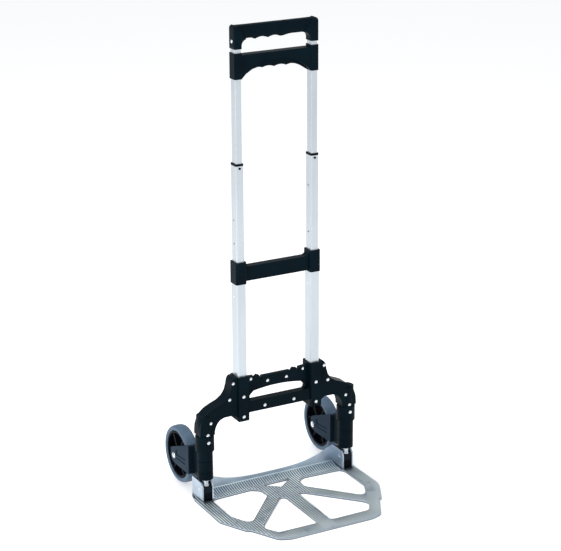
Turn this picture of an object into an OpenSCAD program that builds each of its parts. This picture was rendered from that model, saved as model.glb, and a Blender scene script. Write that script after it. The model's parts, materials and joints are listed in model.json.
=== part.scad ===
// Flat-folding hand truck: three-stage telescopic frame, folding toe plate and folding wheel forks.
// Millimetres, +Z up, +X to the side, toe plate towards -Y, wheels towards +Y.

/* [Overall] */
// Height of the top handle above the ground, fully drawn out
overall_height = 1004; // [900:1:1100]
// Distance between the axes of the two telescopic tubes
tube_spacing = 172; // [150:1:200]
// Distance between the axes of the two legs
leg_spacing = 339; // [320:1:420]
// Distance from the tube plane back to the rear rail of the toe plate
rail_setback = 22; // [15:1:30]

/* [Telescopic tubes] */
// Width of the outer tube across the truck
outer_tube_w = 21; // [18:0.5:26]
// Depth of the outer tube
outer_tube_d = 27; // [22:0.5:32]
// Corner radius of the outer tube
outer_tube_r = 3.2; // [2:0.1:5]
// Wall of every tube
tube_wall = 1.4; // [1:0.1:2]
// Sliding gap between one tube and the next, each side
stage_gap = 0.4; // [0.3:0.05:0.8]
// Height of the casing's top edge
casing_top = 270; // [240:1:300]
// Bare length of outer tube between casing and crossbar
outer_bare = 202; // [150:1:260]
// Bare length of middle tube above the crossbar
middle_bare = 202.5; // [150:0.5:240]
// Length of middle tube kept inside the outer tube
middle_engaged = 135.5; // [100:0.5:180]
// Length of inner tube kept inside the middle tube
inner_engaged = 153; // [100:0.5:200]
// Height of the glide ring on top of the middle tube
ring_h = 4; // [3:0.5:8]
// Depth of the tube plugs' flange
plug_flange = 4; // [3:0.5:6]
// Running gap around the plug flanges
plug_gap = 0.15; // [0.1:0.05:0.3]
// Diameter of the stop holes in the tubes
stop_hole_d = 4; // [3:0.5:6]
// Spacing of the stop holes
stop_hole_pitch = 50; // [30:1:80]

/* [Casing] */
// Depth of the two joined casing halves over the arms
casing_d = 29.6; // [24:0.2:36]
// Depth of the casing over the tube sockets
socket_d = 37.8; // [32:0.2:44]
// Width of the raised socket pads
socket_w = 24; // [22:0.5:30]
// Depth of the thin upper bar
upper_bar_d = 9.2; // [6:0.2:14]
// Underside of the lower bar
lower_bar_z = 188; // [170:1:200]
// Height of the lower bar
lower_bar_h = 25; // [22:1:30]
// Underside of the upper bar
upper_bar_z = 236; // [226:1:245]
// Height of the upper bar
upper_bar_h = 22.5; // [16:0.5:30]
// Radius of the casing's legs
leg_r = 17; // [14:0.5:20]
// Radius of the collar at the foot of each leg
collar_r = 20; // [17:0.5:24]
// Height of the collar
collar_h = 36; // [24:1:50]
// Wall of the moulded shells
shell_wall = 2.6; // [2:0.1:4]
// Radius of a rivet's shank
rivet_r = 1.6; // [1.2:0.1:2.5]
// Radius of a rivet's head
rivet_head_r = 3.6; // [3:0.1:5]
// Height of a rivet's head
rivet_head_h = 1.5; // [1:0.1:2.5]

/* [Crossbar, grip and handle] */
// Height of the middle crossbar's sleeves
crossbar_h = 46.5; // [36:0.5:60]
// Height of the crossbar's bar
crossbar_bar_h = 31; // [20:0.5:40]
// Depth of the crossbar's bar
crossbar_bar_d = 17; // [12:0.5:24]
// Wall of the crossbar's sleeves
sleeve_wall = 1.7; // [1.2:0.1:3]
// Height of the top handle
handle_h = 47; // [40:1:60]
// Height of the handle's bar
handle_bar_h = 29; // [22:0.5:36]
// Width of the sleeves of the handle and the grip
grip_sleeve_w = 17.6; // [16.4:0.1:22]
// Depth of the sleeves of the handle and the grip
grip_sleeve_d = 25; // [23:0.1:30]
// Depth of the bars of the handle and the grip
grip_bar_d = 18; // [14:0.5:24]
// Height of the release grip's sleeves
grip_h = 52; // [40:1:60]
// Upward travel of the release grip
grip_travel = 6.5; // [4:0.5:10]
// Gap between the release grip and the top handle
grip_gap = 8; // [6:0.5:14]
// Radius of the release rods
rod_r = 3; // [2:0.1:4]

/* [Legs, forks and wheels] */
// Height of the hinge pin of the toe plate
hinge_z = 31; // [28:0.5:34]
// Hinge pin behind the tube plane
hinge_y = 4; // [0:0.5:6]
// Radius of the hinge pin
hinge_pin_r = 3; // [2.5:0.1:3.5]
// Radius of the steel leg post
post_r = 5.3; // [4.8:0.1:5.8]
// Top of the fork barrel, where the leg collar starts
barrel_top = 118.5; // [110:0.5:126]
// Underside of the fork barrel
barrel_bottom = 54.6; // [52:0.1:60]
// Outer radius of the fork barrel
barrel_r = 16.5; // [14:0.5:19]
// Axle behind the tube plane
axle_y = 106; // [100:0.5:107]
// Height of the axle
axle_z = 69.5; // [66:0.5:75]
// Outward shift of each wheel from its leg
wheel_shift = 2; // [0:0.5:3]
// Radius of the tyre
tyre_r = 62.5; // [55:0.5:63]
// Width of the tyre
tyre_w = 27; // [22:0.5:30]
// Radius of the opening inside the tyre
rim_r = 50.5; // [44:0.5:54]
// Half width over the fork's side plates
fork_half_w = 21; // [18:0.5:23]
// Thickness of the fork's side plates
fork_plate = 4; // [3:0.5:5]
// Radius of the axle bolt
axle_r = 4; // [3:0.1:5]
// Radial running clearance of shafts in their holes
run_gap = 0.05; // [0.02:0.01:0.1]
// Face width of the two small gears that fold the wheels
gear_face = 2.4; // [2:0.1:3]
// Teeth on each of those gears
gear_teeth = 12; // [12:2:14]

/* [Toe plate] */
// Width of the toe plate
toe_w = 382; // [360:1:430]
// Front edge of the toe plate ahead of the tube plane
toe_front = 243; // [200:1:260]
// Back face of the toe plate's rear wall behind the tube plane
toe_back = 38; // [34:0.5:40]
// Thickness of the toe plate
toe_t = 4; // [3:0.5:5]
// Thickness of the rear wall
wall_t = 3.5; // [2.5:0.5:4]
// Height of the rear wall at its middle
wall_mid_h = 17; // [12:0.5:22]
// Height of the hinge ears
ear_h = 47.5; // [44:0.5:48]
// Clear gap between the two cheeks of an ear
ear_gap = 20.4; // [20:0.1:22]
// Thickness of a cheek
cheek_t = 3; // [2:0.5:4]
// Half width of the toe plate's spokes
spoke_half_w = 15; // [10:0.5:18]

/* [Hidden] */
$fn = 48;
tube_x = tube_spacing / 2;
leg_x = leg_spacing / 2;
tube_y = -rail_setback;
middle_w = outer_tube_w - 2 * (tube_wall + stage_gap);
middle_d = outer_tube_d - 2 * (tube_wall + stage_gap);
middle_r = outer_tube_r - 0.6;
inner_w = middle_w - 2 * (tube_wall + stage_gap);
inner_d = middle_d - 2 * (tube_wall + stage_gap);
inner_r = middle_r - 0.6;
socket_floor = 176;
socket_bottom = 172.5;
crossbar_z = casing_top + outer_bare;
crossbar_top = crossbar_z + crossbar_h;
outer_top = crossbar_top - 3;
middle_top = crossbar_top + middle_bare;
middle_bottom = crossbar_top - middle_engaged;
ring_top = middle_top + ring_h;
inner_bottom = middle_top - inner_engaged;
handle_z = overall_height - handle_h;
grip_z = handle_z - grip_gap - grip_h;
inner_top = overall_height - 12;
button_z = middle_top - 5;
stop_z = crossbar_top + 38.5;
guide_z = crossbar_z - 26.5;
arm_y = casing_d / 2;
pad_y = socket_d / 2;
collar_z = barrel_top + 0.5;
rivet_gap = 0.1;
seat_gap = 0.02;
eps = 0.01;
big = 400;
handle_bar_bottom = overall_height - handle_bar_h - 1.5;
release_pin_z = grip_z + 15;
release_pin_r = 2;
cheek_x = ear_gap / 2;
toe_x = toe_w / 2;

// ---- shared shapes -------------------------------------------------------

module rounded_rect(w, d, r) {
    square([w - 2 * r, d], center = true);
    square([w, d - 2 * r], center = true);
    for (sx = [-1, 1], sy = [-1, 1])
        translate([sx * (w / 2 - r), sy * (d / 2 - r)]) circle(r);
}

module tube(w, d, r, h) {
    linear_extrude(h) difference() {
        rounded_rect(w, d, r);
        rounded_rect(w - 2 * tube_wall, d - 2 * tube_wall, r - tube_wall);
    }
}

// a solid seen from the front as a shape in X and Z, between two depths
module front_shape(y_from, y_to) {
    translate([0, y_to, 0]) rotate([90, 0, 0]) linear_extrude(y_to - y_from) children();
}

// a solid seen from the side as a shape in Y and Z, between two widths
module side_shape(x_from, x_to) {
    translate([x_from, 0, 0]) rotate([90, 0, 90]) linear_extrude(x_to - x_from) children();
}

// round bar along Y
module y_rod(r, y_from, y_to) {
    translate([0, y_from, 0]) rotate([-90, 0, 0]) cylinder(h = y_to - y_from, r = r);
}

// round bar along X
module x_rod(r, x_from, x_to) {
    translate([x_from, 0, 0]) rotate([0, 90, 0]) cylinder(h = x_to - x_from, r = r);
}

// domed head lying on the XY plane
module dome(r, h) {
    ball = (r * r + h * h) / (2 * h);
    intersection() {
        translate([0, 0, h - ball]) sphere(ball);
        cylinder(h = h, r = r + 1);
    }
}

// corner points replaced by short arcs, all of radius r or each of its own
function unit(v) = v / norm(v);
function arc_corner(a, b, c, r, n) =
    let (u = unit(a - b), v = unit(c - b), half = acos(u * v) / 2)
    let (dist = r / tan(half), centre = b + unit(u + v) * r / sin(half))
    let (p = b + u * dist, q = b + v * dist)
    let (a0 = atan2(p[1] - centre[1], p[0] - centre[0]))
    let (a1 = atan2(q[1] - centre[1], q[0] - centre[0]))
    let (turn = ((a1 - a0 + 540) % 360) - 180)
    [for (i = [0 : n]) centre + r * [cos(a0 + turn * i / n), sin(a0 + turn * i / n)]];
function soften(pts, r, n = 5) =
    [for (i = [0 : len(pts) - 1])
        each arc_corner(pts[(i + len(pts) - 1) % len(pts)], pts[i],
                        pts[(i + 1) % len(pts)], is_list(r) ? r[i] : r, n)];
function flip(pts) = [for (i = [len(pts) - 1 : -1 : 0]) [-pts[i][0], pts[i][1]]];

module on_both_sides() {
    children();
    mirror([1, 0, 0]) children();
}

// ---- toe plate -----------------------------------------------------------

wide_y = -108;
notch_y = -172;
toe_half = [
    [toe_x - 7, toe_back], [toe_x - 1, 12], [toe_x, wide_y], [toe_x - 31.5, notch_y + 1.5],
    [toe_x - 38.5, notch_y], [toe_x - 71, 9 - toe_front], [toe_x - 96, -toe_front]
];
toe_corner_r = [3, 3, 32, 3, 3, 20, 30, 30, 20, 3, 3, 32, 3, 3];
rail_front = 7;
hub_y = -42;
hole_front = 35 - toe_front;
big_hole = [
    [47, -14], [64, -1.5], [toe_x - 38, -5], [toe_x - 32, -18], [toe_x - 31.5, -97],
    [toe_x - 55, -145], [44, -42]
];
front_hole = [
    [spoke_half_w + 1, -54], [toe_x - 75, -163], [toe_x - 67, -178], [toe_x - 85, hole_front + 1],
    [spoke_half_w, hole_front]
];
rear_hole = [[-35, rail_front], [35, rail_front], [0, -21]];
ear_rear = toe_back - wall_t;
ear_profile = [
    [toe_back, 0], [toe_back, ear_h - 2], [36, ear_h], [4, ear_h], [-4, ear_h - 0.5],
    [-10, 41], [-11.5, 35], [-11.5, 9], [-14, toe_t], [-14, 0]
];
wall_span = leg_x - cheek_x - cheek_t;
wall_rise = ear_h - wall_mid_h;
wall_steps = 24;
wall_profile = concat(
    [for (i = [0 : wall_steps])
        let (f = 2 * i / wall_steps - 1)
        [wall_span * f, wall_mid_h + wall_rise * pow(abs(f), 3.3)]],
    [[wall_span, 0], [-wall_span, 0]]
);

module toe_holes() {
    polygon(soften(big_hole, 12));
    polygon(flip(soften(big_hole, 12)));
    polygon(soften(front_hole, 8));
    polygon(flip(soften(front_hole, 8)));
    polygon(soften(rear_hole, 2));
}

module toe_plate() color("silver") translate([0, tube_y, 0]) {
    difference() {
        union() {
            linear_extrude(toe_t) difference() {
                polygon(soften(concat(toe_half, flip(toe_half)), toe_corner_r));
                toe_holes();
            }
            front_shape(toe_back - wall_t, toe_back) polygon(wall_profile);
            translate([-wall_span, ear_rear - 1.5, 9]) cube([2 * wall_span, 2, 1.5]);
            side_shape(-wall_span, wall_span)
                polygon([[14, toe_t - 1], [ear_rear + 1, toe_t - 1], [ear_rear + 1, 9.5], [ear_rear - 1, 9.5],
                         [14, toe_t]]);
            on_both_sides() for (s = [-1, 1])
                translate([leg_x + s * (cheek_x + cheek_t / 2), 0, 0])
                    side_shape(-cheek_t / 2, cheek_t / 2) polygon(ear_profile);
            on_both_sides() translate([leg_x - cheek_x - cheek_t, 0, 0]) {
                translate([0, toe_back - wall_t, 0]) cube([2 * (cheek_x + cheek_t), wall_t, ear_h - 6]);
                translate([0, -14, 0]) cube([2 * (cheek_x + cheek_t), toe_back + 14, toe_t + 0.6]);
            }
        }
        translate([0, hinge_y, hinge_z])
            x_rod(hinge_pin_r + 0.02, -leg_x - 20, leg_x + 20);
    }
}

module left_hinge_pin() color("gainsboro") translate([-leg_x, tube_y + hinge_y, hinge_z]) {
    x_rod(hinge_pin_r, -cheek_x - cheek_t, cheek_x + cheek_t);
    for (s = [0, 1]) mirror([s, 0, 0])
        translate([cheek_x + cheek_t, 0, 0]) rotate([0, 90, 0]) dome(hinge_pin_r + 1.4, 1.2);
}
module right_hinge_pin() mirror([1, 0, 0]) left_hinge_pin();

// small spur gear keyed to the hinge pin, beside the outer cheek
gear_tooth = 0.7;
gear_end_gap = 0.5;
gear_inner = post_r + 0.35;
gear_r = gear_inner + gear_face / 2;
module left_toe_gear() color("darkgray")
    translate([-leg_x - gear_inner - gear_face, tube_y + hinge_y, hinge_z]) rotate([0, 90, 0])
        difference() {
            union() {
                cylinder(h = gear_face, r = gear_r - 0.8);
                for (i = [0 : gear_teeth - 1]) rotate([0, 0, 360 * (i + 0.5) / gear_teeth])
                    translate([2, -gear_tooth / 2, 0])
                        cube([gear_r - 1.5, gear_tooth, gear_face - gear_end_gap]);
            }
            translate([0, 0, -1]) cylinder(h = gear_face + 2, r = hinge_pin_r + 0.02);
        }
module right_toe_gear() mirror([1, 0, 0]) left_toe_gear();

// ---- leg posts, knuckles and feet ---------------------------------------

post_bottom = 26;
post_top = 170;
module left_leg_post() color("lightgray") translate([-leg_x, tube_y, 0]) difference() {
    translate([0, 0, post_bottom]) cylinder(h = post_top - post_bottom, r = post_r);
    translate([0, hinge_y, hinge_z]) x_rod(hinge_pin_r + run_gap, -big, big);
    for (z = leg_rivet_z) translate([0, 0, z]) y_rod(rivet_r + rivet_gap, -big, big);
}
module right_leg_post() mirror([1, 0, 0]) left_leg_post();

knuckle_top = hinge_z + gear_r - 0.9;
knuckle_split = 24;
foot_r = hinge_z - toe_t - 1;
knuckle_half_w = cheek_x - 0.35;
module foot_blank(z_from, z_to) intersection() {
    translate([0, hinge_y, hinge_z]) x_rod(foot_r, -knuckle_half_w, knuckle_half_w);
    translate([-big, -10.5, z_from]) cube([2 * big, 25, z_to - z_from]);
}
module gear_pocket() translate([-knuckle_half_w - 1, hinge_y - 9, hinge_z - 9])
    cube([knuckle_half_w + 1.15 - gear_inner, 18, 20]);
module left_knuckle() color("silver") translate([-leg_x, tube_y, 0]) difference() {
    union() {
        foot_blank(knuckle_split, knuckle_top);
        foot_tenon(0);
    }
    translate([0, 0, post_bottom]) cylinder(h = big, r = post_r + seat_gap);
    translate([0, hinge_y, hinge_z]) x_rod(hinge_pin_r + run_gap, -big, big);
    gear_pocket();
}
module right_knuckle() mirror([1, 0, 0]) left_knuckle();

module foot_tenon(gap) translate([-6 - gap, -5 - gap, 14 - gap])
    cube([12 + 2 * gap, 9 + 2 * gap, knuckle_split - 14 + 2 * gap]);
module left_foot_shoe() color("#161a20") translate([-leg_x, tube_y, 0]) difference() {
    foot_blank(toe_t + 1, knuckle_split);
    foot_tenon(0.1);
    gear_pocket();
}
module right_foot_shoe() mirror([1, 0, 0]) left_foot_shoe();

// crown gear under the fork barrel, turned by the toe gear
crown_z = hinge_z + gear_r;
crown_r = gear_inner + gear_face + 0.4;
neck_r = post_r + 1.4;
module left_fork_gear() color("lightgray") translate([-leg_x, tube_y, 0]) difference() {
    union() {
        translate([0, 0, crown_z + 0.8]) cylinder(h = 2.6, r = crown_r);
        translate([0, 0, crown_z + 0.8]) cylinder(h = barrel_bottom - crown_z - 0.8, r = neck_r);
        translate([0, 0, barrel_bottom - 1.4]) cylinder(h = 1.4, r = barrel_r - 2.5);
        for (i = [0 : gear_teeth - 1]) rotate([0, 0, 360 * i / gear_teeth]) intersection() {
            translate([-crown_r, hinge_y - gear_tooth / 2, crown_z - 0.5])
                cube([crown_r, gear_tooth, 2]);
            cylinder(h = big, r = crown_r - 0.3);
        }
    }
    cylinder(h = big, r = post_r + run_gap);
}
module right_fork_gear() mirror([1, 0, 0]) left_fork_gear();

// ---- wheel forks ---------------------------------------------------------

plate_front = 34;
plate_rear = axle_y + 14;
fork_top = barrel_top - 1;
side_plate = [
    [plate_front, barrel_bottom - 1], [plate_rear - 18, 53], [plate_rear - 5, 56.5],
    [plate_rear, 63], [plate_rear, 80], [plate_rear - 5, 86], [plate_front + 6, fork_top],
    [plate_front, fork_top]
];
web_half = 12.5;
web_plan = [
    [-web_half, 0], [web_half, 0], [web_half, plate_front - 3],
    [fork_half_w - wheel_shift, plate_front], [fork_half_w - wheel_shift, plate_front + 5],
    [-fork_half_w - wheel_shift, plate_front + 5], [-fork_half_w - wheel_shift, plate_front],
    [-web_half, plate_front - 3]
];
pocket = [
    [plate_front + 14, fork_top - 14], [axle_y - 10, axle_z + 16], [axle_y - 12, axle_z + 5],
    [plate_front + 14, axle_z + 9]
];
strut_pocket = [
    [plate_front + 15, axle_z + 3], [axle_y - 13, axle_z + 0.5], [axle_y - 13, axle_z - 2],
    [plate_front + 15, axle_z - 0.5]
];
module left_fork() color("#1c2836") translate([-leg_x, tube_y, 0]) difference() {
    union() {
        translate([0, 0, barrel_bottom]) cylinder(h = barrel_top - barrel_bottom, r = barrel_r);
        translate([0, 0, barrel_bottom]) linear_extrude(fork_top - barrel_bottom) polygon(web_plan);
        for (s = [-1, 1])
            translate([s * (fork_half_w - fork_plate / 2) - wheel_shift, 0, 0])
                side_shape(-fork_plate / 2, fork_plate / 2) polygon(side_plate);
    }
    translate([0, 0, -1]) cylinder(h = big, r = post_r + run_gap);
    for (z = [71, 96]) translate([0, 0, z]) difference() {
        cylinder(h = 1.2, r = barrel_r + 1);
        cylinder(h = 1.2, r = barrel_r - 0.8);
        translate([-big, 4, -1]) cube([2 * big, big, 4]);
    }
    translate([0, axle_y, axle_z]) x_rod(axle_r + 0.1, -big / 10, big / 10);
    for (s = [-1, 1]) translate([s * fork_half_w - wheel_shift, 0, 0])
        side_shape(-1.4, 1.4) {
            polygon(pocket);
            polygon(strut_pocket);
        }
    translate([-web_half + 3, barrel_r + 2, barrel_bottom + 4])
        cube([2 * web_half - 6, plate_front + 6 - barrel_r - 2, barrel_top - barrel_bottom - 12]);
}
module right_fork() mirror([1, 0, 0]) left_fork();

module left_thrust_washer() color("#101216")
    translate([-leg_x, tube_y, barrel_top]) difference() {
        cylinder(h = 0.5, r = barrel_r - 0.5);
        translate([0, 0, -1]) cylinder(h = 3, r = post_r + 0.1);
    }
module right_thrust_washer() mirror([1, 0, 0]) left_thrust_washer();

wheel_x = leg_x + wheel_shift;
module left_axle_bolt() color("gainsboro")
    translate([-wheel_x, tube_y + axle_y, axle_z]) difference() {
        union() {
            x_rod(axle_r, -fork_half_w, fork_half_w + 5);
            translate([-fork_half_w, 0, 0]) rotate([0, -90, 0]) dome(axle_r + 2.6, 2.8);
        }
        translate([-fork_half_w - 2, 0, 0]) rotate([0, -90, 0]) cylinder(h = 4, r = 2.2, $fn = 6);
    }
module right_axle_bolt() mirror([1, 0, 0]) left_axle_bolt();

module left_axle_nut() color("gainsboro")
    translate([-wheel_x + fork_half_w, tube_y + axle_y, axle_z]) rotate([0, 90, 0]) difference() {
        cylinder(h = 4, r = axle_r + 3.2, $fn = 6);
        translate([0, 0, -1]) cylinder(h = 7, r = axle_r + seat_gap);
    }
module right_axle_nut() mirror([1, 0, 0]) left_axle_nut();

// ---- wheels --------------------------------------------------------------

hub_half = fork_half_w - fork_plate - 0.5;
hub_r = 11;
bush_r = axle_r + 2.5;
rim_w = tyre_w - 4;
spokes = 6;
module wheel_place() translate([-wheel_x, tube_y + axle_y, axle_z]) rotate([0, 90, 0]) children();
module left_rim() color("#12161c") wheel_place() difference() {
    union() {
        translate([0, 0, -hub_half + 1]) cylinder(h = 2 * hub_half - 2, r = hub_r);
        rotate_extrude() translate([rim_r - 3.5, -rim_w / 2]) square([3.5, rim_w]);
        rotate_extrude() translate([rim_r - 6, -1.5]) square([4, 3]);
        for (i = [0 : spokes - 1]) rotate([0, 0, 360 * i / spokes + 30])
            translate([hub_r - 1, -2, -rim_w / 2 + 2]) cube([rim_r - hub_r - 1.5, 4, rim_w - 4]);
        translate([0, 0, -1.5]) cylinder(h = 3, r = 20);
    }
    translate([0, 0, -big / 2]) cylinder(h = big, r = bush_r);
}
module right_rim() mirror([1, 0, 0]) left_rim();

crown_arc = 26;
module left_tyre() color("slategray") wheel_place() rotate_extrude($fn = 96) intersection() {
    translate([rim_r, -tyre_w / 2]) square([tyre_r - rim_r, tyre_w]);
    translate([tyre_r - crown_arc, 0]) circle(crown_arc);
}
module right_tyre() mirror([1, 0, 0]) left_tyre();

module left_hub_bushes() color("ivory") wheel_place() for (s = [0, 1]) mirror([0, 0, s])
    translate([0, 0, hub_half - 10]) difference() {
        union() {
            cylinder(h = 9, r = bush_r);
            translate([0, 0, 9]) cylinder(h = 1, r = bush_r + 2);
        }
        translate([0, 0, -1]) cylinder(h = 12, r = axle_r + run_gap);
    }
module right_hub_bushes() mirror([1, 0, 0]) left_hub_bushes();

// ---- casing --------------------------------------------------------------

leg_rivet_z = [140.8, 156.6];
leg_out = leg_x + leg_r;
leg_in = leg_x - leg_r;
arm_outline = [
    [tube_x - 12, socket_bottom + 14], [tube_x - 12, casing_top - 3], [tube_x + 15, casing_top],
    [tube_x + 21, casing_top - 1], [tube_x + 25, casing_top - 7], [tube_x + 27, casing_top - 19],
    [tube_x + 31, casing_top - 32], [tube_x + 38, casing_top - 42], [tube_x + 49, casing_top - 50],
    [leg_out - 36, casing_top - 56], [leg_out - 23, casing_top - 62], [leg_out - 12, casing_top - 71],
    [leg_out - 5, casing_top - 82], [leg_out - 1, casing_top - 95], [leg_out, casing_top - 108],
    [leg_out, 155], [leg_in, 155], [leg_in, 162], [leg_in - 2.5, 171], [leg_in - 7, 179],
    [leg_in - 13, 184.5], [leg_in - 22, lower_bar_z], [tube_x + 23, lower_bar_z + 0.5],
    [tube_x + 16, lower_bar_z - 4], [tube_x + 11, lower_bar_z - 10]
];
slot_z = lower_bar_z + lower_bar_h;
slot_half = tube_x - 20.4;
slot_rise = 5;
hand_slot = concat(
    [[-slot_half, slot_z], [slot_half, slot_z], [slot_half, upper_bar_z - 3 * slot_rise]],
    [for (i = [0 : 8])
        let (f = 1 - i / 4)
        [(slot_half - 9) * f, upper_bar_z - 1 - slot_rise * f * f]],
    [[-slot_half, upper_bar_z - 3 * slot_rise]]
);
upper_top = upper_bar_z + upper_bar_h;
upper_outline = [
    [-tube_x + 8, slot_z - 1], [tube_x - 8, slot_z - 1], [tube_x - 8, upper_top + 6],
    [52, upper_top + 4], [51.5, upper_top - 7], [50, upper_top - 7.5], [47, upper_top + 3],
    [43.5, upper_top + 3], [43, upper_top + 1], [40.5, upper_top + 5], [37, upper_top + 3],
    [33.5, upper_top - 2.5], [31, upper_top + 1], [-36, upper_top + 1], [-36.5, upper_top - 7],
    [-38.5, upper_top - 7], [-42, upper_top + 3.5], [-44, upper_top + 3.5], [-46, upper_top + 5.5],
    [-50, upper_top + 3], [-53.5, upper_top], [-56, upper_top + 5], [-tube_x + 8, upper_top + 6]
];
through_rivets = [
    [108, 259.2, arm_y], [116.9, 224.6, arm_y], [62.3, 257.1, upper_bar_d / 2],
    [22.4, 246.5, upper_bar_d / 2], [34.6, 197.2, arm_y], [161.6, 180.8, arm_y],
    [leg_x, leg_rivet_z[0], collar_r], [leg_x, leg_rivet_z[1], leg_r]
];
socket_rivet_z = [182.1, 226.8];

module casing_solid() difference() {
    union() {
        on_both_sides() {
            front_shape(-arm_y, arm_y) polygon(arm_outline);
            translate([leg_x, 0, collar_z]) cylinder(h = 78, r = leg_r);
            translate([leg_x, 0, collar_z]) cylinder(h = collar_h - 4, r = collar_r);
            translate([leg_x, 0, collar_z + collar_h - 4])
                cylinder(h = 4, r1 = collar_r, r2 = leg_r);
            translate([tube_x - socket_w / 2, -pad_y, socket_bottom])
                cube([socket_w, socket_d, casing_top - socket_bottom]);
            translate([tube_x - 13, -arm_y, socket_bottom]) cube([14, 2 * arm_y, 30]);
        }
        translate([-tube_x, -arm_y, lower_bar_z]) cube([tube_spacing, casing_d, lower_bar_h]);
        front_shape(-upper_bar_d / 2, upper_bar_d / 2) polygon(upper_outline);
    }
    front_shape(-pad_y - 1, pad_y + 1) polygon(soften(hand_slot, 4));
    side_shape(-slot_half - 5, slot_half + 5)
        polygon([[2, slot_z], [arm_y, slot_z - 7], [arm_y + 1, slot_z - 7], [arm_y + 1, slot_z]]);
    for (p = through_rivets) on_both_sides() translate([p[0], 0, p[1]]) {
        y_rod(rivet_head_r + 0.4, -big, -p[2]);
        y_rod(rivet_head_r, p[2], big);
    }
    on_both_sides() {
        translate([tube_x, 0, socket_floor])
            linear_extrude(big) rounded_rect(outer_tube_w, outer_tube_d, outer_tube_r);
        translate([leg_x, 0, 0]) cylinder(h = post_top, r = post_r + seat_gap);
        casing_pockets();
        for (p = through_rivets) translate([p[0], 0, p[1]]) y_rod(rivet_r + rivet_gap, -big, big);
        for (z = socket_rivet_z) translate([tube_x, 0, z]) y_rod(rivet_r + rivet_gap, -big, big);
    }
}

// lightening hollows, open only at the joint between the two halves
module casing_pockets() {
    hollow = arm_y - shell_wall;
    translate([6, -hollow, lower_bar_z + shell_wall])
        cube([20, 2 * hollow, lower_bar_h - 2 * shell_wall - 6]);
    translate([42, -hollow, lower_bar_z + shell_wall])
        cube([26, 2 * hollow, lower_bar_h - 2 * shell_wall - 6]);
    translate([tube_x + 18, -hollow, 196]) cube([16, 2 * hollow, 22]);
    translate([tube_x + 38, -hollow, 193]) cube([20, 2 * hollow, 16]);
}

module front_half() translate([-big, -big, 0]) cube([2 * big, big, big]);
module rear_half() translate([-big, 0, 0]) cube([2 * big, big, big]);
module casing_front() color("#10161e") translate([0, tube_y, 0])
    intersection() { casing_solid(); front_half(); }
module casing_rear() color("#10161e") translate([0, tube_y, 0])
    intersection() { casing_solid(); rear_half(); }

// a rivet along Y with a head on each end
module rivet(half_grip) {
    y_rod(rivet_r, -half_grip, half_grip);
    translate([0, -half_grip, 0]) rotate([90, 0, 0]) dome(rivet_head_r, rivet_head_h);
    translate([0, half_grip, 0]) rotate([-90, 0, 0]) dome(rivet_head_r - 0.6, rivet_head_h - 0.3);
}
module casing_rivets() color("white") translate([0, tube_y, 0]) on_both_sides()
    for (p = through_rivets) translate([p[0], 0, p[1]]) rivet(p[2]);

// short rivets that hold the tubes, ending flush inside the tube wall
module socket_rivets() color("white") translate([0, tube_y, 0]) on_both_sides()
    for (z = socket_rivet_z, s = [0, 1]) translate([tube_x, 0, z]) mirror([0, s, 0]) {
        y_rod(rivet_r, -pad_y, -outer_tube_d / 2 + tube_wall - 0.1);
        translate([0, -pad_y, 0]) rotate([90, 0, 0]) dome(rivet_head_r, rivet_head_h);
    }

// ---- outer tubes and crossbar -------------------------------------------

module left_outer_tube() color("gainsboro") translate([-tube_x, tube_y, 0]) difference() {
    translate([0, 0, socket_floor])
        tube(outer_tube_w, outer_tube_d, outer_tube_r, outer_top - socket_floor);
    for (z = socket_rivet_z) translate([0, 0, z]) y_rod(rivet_r + rivet_gap, -big, big);
    translate([0, 0, guide_z]) x_rod(stop_hole_d / 2, -big, big);
    translate([0, 0, crossbar_z + 20]) y_rod(rivet_r + rivet_gap, 0, big);
}
module right_outer_tube() mirror([1, 0, 0]) left_outer_tube();

sleeve_w = outer_tube_w + 2 * sleeve_wall;
sleeve_d = outer_tube_d + 2 * sleeve_wall;
bar_z = crossbar_z + 4;
bar_top = bar_z + crossbar_bar_h;
bar_end = tube_x - sleeve_w / 2 + 1;
fillet_r = 10;
crossbar_profile = concat(
    [[-bar_end, bar_z], [bar_end, bar_z], [bar_end, bar_top + fillet_r]],
    [for (a = [0 : 15 : 90])
        [bar_end - 1 - fillet_r + fillet_r * cos(a), bar_top + fillet_r - fillet_r * sin(a)]],
    [for (a = [90 : -15 : 0])
        [1 + fillet_r - bar_end - fillet_r * cos(a), bar_top + fillet_r - fillet_r * sin(a)]],
    [[-bar_end, bar_top + fillet_r]]
);
module mid_crossbar() color("#141c28") translate([0, tube_y, 0]) difference() {
    union() {
        on_both_sides() translate([tube_x, 0, crossbar_z]) linear_extrude(crossbar_h)
            rounded_rect(sleeve_w, sleeve_d, outer_tube_r + 1);
        front_shape(-crossbar_bar_d / 2, crossbar_bar_d / 2) polygon(crossbar_profile);
    }
    on_both_sides() translate([tube_x, 0, 0]) {
        translate([0, 0, crossbar_z - 1]) linear_extrude(outer_top - crossbar_z + 1)
            rounded_rect(outer_tube_w, outer_tube_d, outer_tube_r);
        translate([0, 0, outer_top - 1]) linear_extrude(10)
            rounded_rect(middle_w + 0.3, middle_d + 0.3, middle_r + 0.15);
        translate([0, 0, crossbar_z + 20]) y_rod(rivet_r + rivet_gap, 0, big);
    }
    translate([-bar_end + 6, crossbar_bar_d / 2 - 9, bar_z + 4])
        cube([2 * bar_end - 12, 20, crossbar_bar_h - 8]);
}
module crossbar_rivets() color("white") translate([0, tube_y, 0]) on_both_sides()
    translate([tube_x, 0, crossbar_z + 20]) {
        y_rod(rivet_r, outer_tube_d / 2 - tube_wall + 0.1, sleeve_d / 2);
        translate([0, sleeve_d / 2, 0]) rotate([-90, 0, 0]) dome(rivet_head_r, rivet_head_h);
    }

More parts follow.
